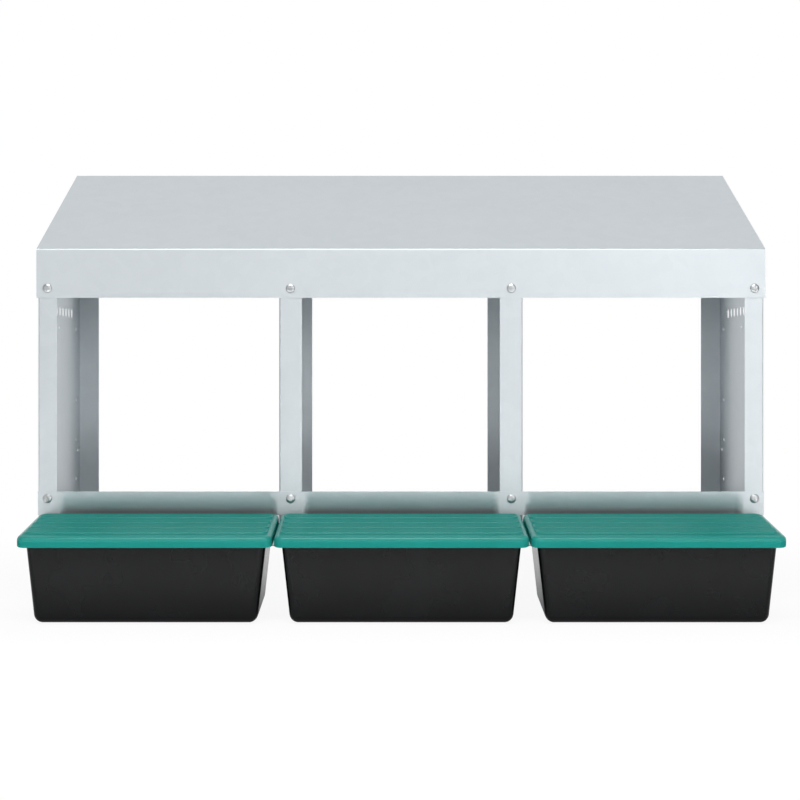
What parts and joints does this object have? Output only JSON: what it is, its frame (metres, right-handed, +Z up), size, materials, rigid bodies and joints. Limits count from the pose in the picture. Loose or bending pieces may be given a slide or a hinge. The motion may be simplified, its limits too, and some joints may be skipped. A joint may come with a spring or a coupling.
{
  "type": "roll out nest box",
  "caption": "Galvanised roll out nest box with a lean-to roof, open bays on a sloped floor, and black egg trays under hinged green ribbed lids along the front.",
  "frame": {"origin": "middle of the bounding box at ground level", "axes": "+X along the row of bays to the right as seen from the egg side, +Y from the egg side to the hens' side, +Z up"},
  "size_m": [0.96, 0.4045, 0.6044],
  "materials": {
    "galvanised": "galvanised sheet, satin",
    "zinc_steel": "zinc plated",
    "green_plastic": "moulded, semi gloss",
    "black_plastic": "moulded, satin"
  },
  "bodies": {
    "housing": {"roof_panel": "galvanised", "left_side_panel": "galvanised", "right_side_panel": "galvanised", "left_divider": "galvanised", "right_divider": "galvanised", "front_rail": "galvanised", "rear_rail": "galvanised", "floor_panel": "galvanised", "left_nest_mat": "black_plastic", "centre_nest_mat": "black_plastic", "right_nest_mat": "black_plastic", "left_tray_hanger": "galvanised", "centre_tray_hanger": "galvanised", "right_tray_hanger": "galvanised", "fascia_screws": "zinc_steel", "fascia_nuts": "zinc_steel", "rail_screws": "zinc_steel", "rail_nuts": "zinc_steel", "roof_rear_screws": "zinc_steel", "roof_rear_nuts": "zinc_steel", "rear_rail_screws": "zinc_steel", "rear_rail_nuts": "zinc_steel", "floor_rivets": "zinc_steel", "divider_rivets": "zinc_steel", "hanger_rivets": "zinc_steel"},
    "left_tray": {"left_egg_tray": "black_plastic"},
    "centre_tray": {"centre_egg_tray": "black_plastic"},
    "right_tray": {"right_egg_tray": "black_plastic"},
    "left_cover": {"left_lid": "green_plastic", "left_hinge_pins": "zinc_steel"},
    "centre_cover": {"centre_lid": "green_plastic", "centre_hinge_pins": "zinc_steel"},
    "right_cover": {"right_lid": "green_plastic", "right_hinge_pins": "zinc_steel"}
  },
  "joints": [
    {"name": "left_tray_lift", "type": "slide", "parent": "housing", "child": "left_tray", "axis": [0, 0, 1], "range_m": [0, 0.025]},
    {"name": "left_lid_hinge", "type": "hinge", "parent": "left_tray", "child": "left_cover", "pos_m": [-0.317, -0.08673, 0.11735], "axis": [-1, 0, 0], "range_deg": [0, 100]},
    {"name": "centre_tray_lift", "type": "slide", "parent": "housing", "child": "centre_tray", "axis": [0, 0, 1], "range_m": [0, 0.025]},
    {"name": "centre_lid_hinge", "type": "hinge", "parent": "centre_tray", "child": "centre_cover", "pos_m": [0, -0.08673, 0.11735], "axis": [-1, 0, 0], "range_deg": [0, 100]},
    {"name": "right_tray_lift", "type": "slide", "parent": "housing", "child": "right_tray", "axis": [0, 0, 1], "range_m": [0, 0.025]},
    {"name": "right_lid_hinge", "type": "hinge", "parent": "right_tray", "child": "right_cover", "pos_m": [0.317, -0.08673, 0.11735], "axis": [-1, 0, 0], "range_deg": [0, 100]}
  ]
}
